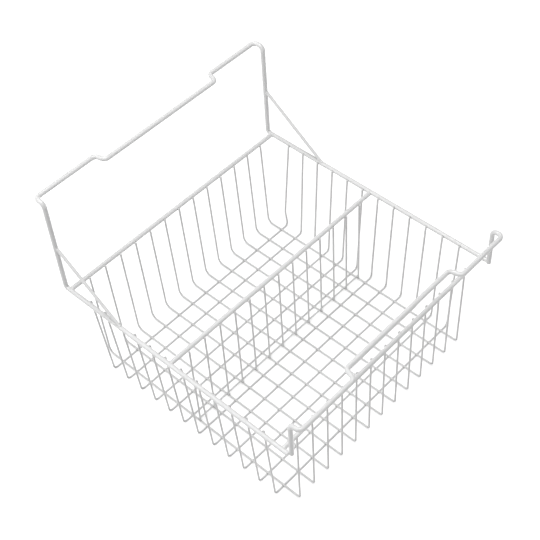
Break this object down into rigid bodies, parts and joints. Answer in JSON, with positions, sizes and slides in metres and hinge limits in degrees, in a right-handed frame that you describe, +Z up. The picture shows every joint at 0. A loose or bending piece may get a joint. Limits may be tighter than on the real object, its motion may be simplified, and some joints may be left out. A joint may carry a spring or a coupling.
{
  "type": "wire produce basket",
  "caption": "Open wire storage basket: fine square mesh hung from heavier bars, a central divider, a tall stepped back frame with sloping braces and a raised front handle.",
  "frame": {"origin": "on the ground plane, under the middle of the basket's bounding box", "axes": "+X across the basket's width to its right side, +Y towards the tall back frame (the handle is at -Y), +Z up"},
  "size_m": [0.3666, 0.3984, 0.2916],
  "materials": {
    "frame_coating": "white glossy coating over heavy bent steel wire",
    "brace_coating": "white glossy coating over medium steel wire",
    "mesh_coating": "white glossy coating over fine steel wire, thicker at the welds"
  },
  "bodies": {
    "root": {"back_frame": "frame_coating", "handle": "frame_coating", "back_bar": "frame_coating", "front_bar": "frame_coating", "divider_top_bar": "frame_coating", "left_brace": "brace_coating", "right_brace": "brace_coating", "crosswise_wire_01": "mesh_coating", "crosswise_wire_02": "mesh_coating", "crosswise_wire_03": "mesh_coating", "crosswise_wire_04": "mesh_coating", "crosswise_wire_05": "mesh_coating", "crosswise_wire_06": "mesh_coating", "crosswise_wire_07": "mesh_coating", "crosswise_wire_08": "mesh_coating", "crosswise_wire_09": "mesh_coating", "crosswise_wire_10": "mesh_coating", "crosswise_wire_11": "mesh_coating", "crosswise_wire_12": "mesh_coating", "lengthwise_wire_01": "mesh_coating", "lengthwise_wire_02": "mesh_coating", "lengthwise_wire_03": "mesh_coating", "lengthwise_wire_04": "mesh_coating", "lengthwise_wire_05": "mesh_coating", "lengthwise_wire_06": "mesh_coating", "lengthwise_wire_07": "mesh_coating", "lengthwise_wire_08": "mesh_coating", "lengthwise_wire_09": "mesh_coating", "lengthwise_wire_10": "mesh_coating", "lengthwise_wire_11": "mesh_coating", "lengthwise_wire_12": "mesh_coating", "lengthwise_wire_13": "mesh_coating", "divider_post_01": "mesh_coating", "divider_post_02": "mesh_coating", "divider_post_03": "mesh_coating", "divider_post_04": "mesh_coating", "divider_post_05": "mesh_coating", "divider_post_06": "mesh_coating", "divider_post_07": "mesh_coating", "divider_post_08": "mesh_coating", "divider_post_09": "mesh_coating", "divider_post_10": "mesh_coating", "divider_post_11": "mesh_coating", "divider_post_12": "mesh_coating", "divider_post_13": "mesh_coating", "divider_floor_wire": "mesh_coating"}
  },
  "joints": []
}
